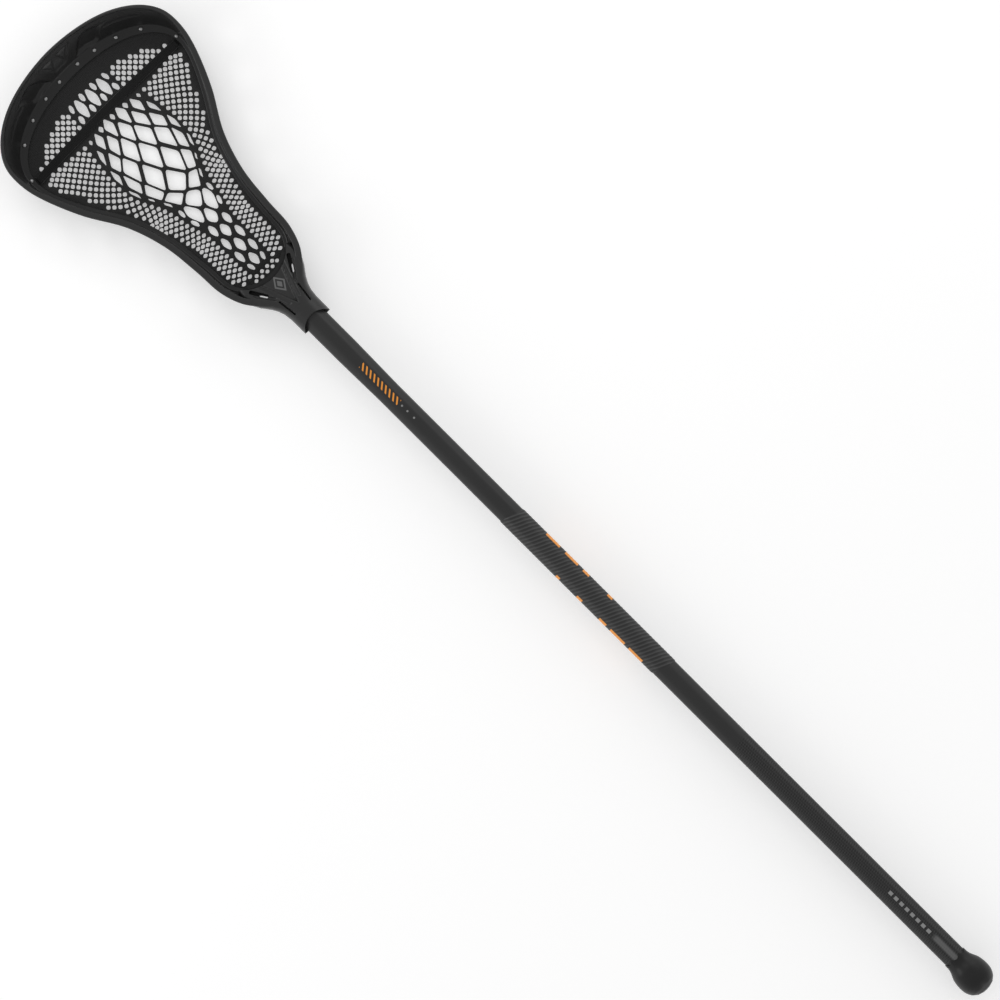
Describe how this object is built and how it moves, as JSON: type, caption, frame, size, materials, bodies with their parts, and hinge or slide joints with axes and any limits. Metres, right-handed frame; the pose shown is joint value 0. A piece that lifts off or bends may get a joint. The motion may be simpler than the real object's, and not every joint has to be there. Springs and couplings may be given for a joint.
{
  "type": "lacrosse stick",
  "caption": "Complete field lacrosse stick: open moulded head with a knitted mesh pocket, octagonal carbon shaft with a ribbed grip, and a rubber butt cap.",
  "frame": {"origin": "under the middle of the stick's overall length, on the surface that it lies on", "axes": "+Y runs from the butt cap to the scoop, +Z is the open face of the head, X is across the head"},
  "size_m": [0.187, 1.092, 0.0436],
  "materials": {
    "head_plastic": "satin moulded nylon, near black",
    "knit": "matt knitted polyester, near black",
    "strip_knit": "thick matt woven band, black",
    "pin_metal": "small darkened metal rivets",
    "pin_plastic": "black nylon push pins",
    "foam": "closed cell foam, matt black",
    "screw_metal": "black oxide steel",
    "carbon": "carbon fibre composite, satin dark grey lacquer with a woven pattern at the butt end",
    "grip": "thin ribbed coat with orange blocks",
    "cap_rubber": "smooth black rubber"
  },
  "bodies": {
    "stick": {"head_frame": "head_plastic", "mesh_pocket": "knit", "shooting_strip": "strip_knit", "scoop_pins": "pin_metal", "left_rail_pins": "pin_plastic", "right_rail_pins": "pin_plastic", "throat_pins": "pin_plastic", "ball_stop": "foam", "head_screw": "screw_metal", "shaft": "carbon", "grip_coat": "grip"},
    "cap": {"butt_cap": "cap_rubber"}
  },
  "joints": [
    {"name": "cap_pull_off", "type": "slide", "parent": "stick", "child": "cap", "axis": [0, -1, 0], "range_m": [0, 0.037]}
  ]
}
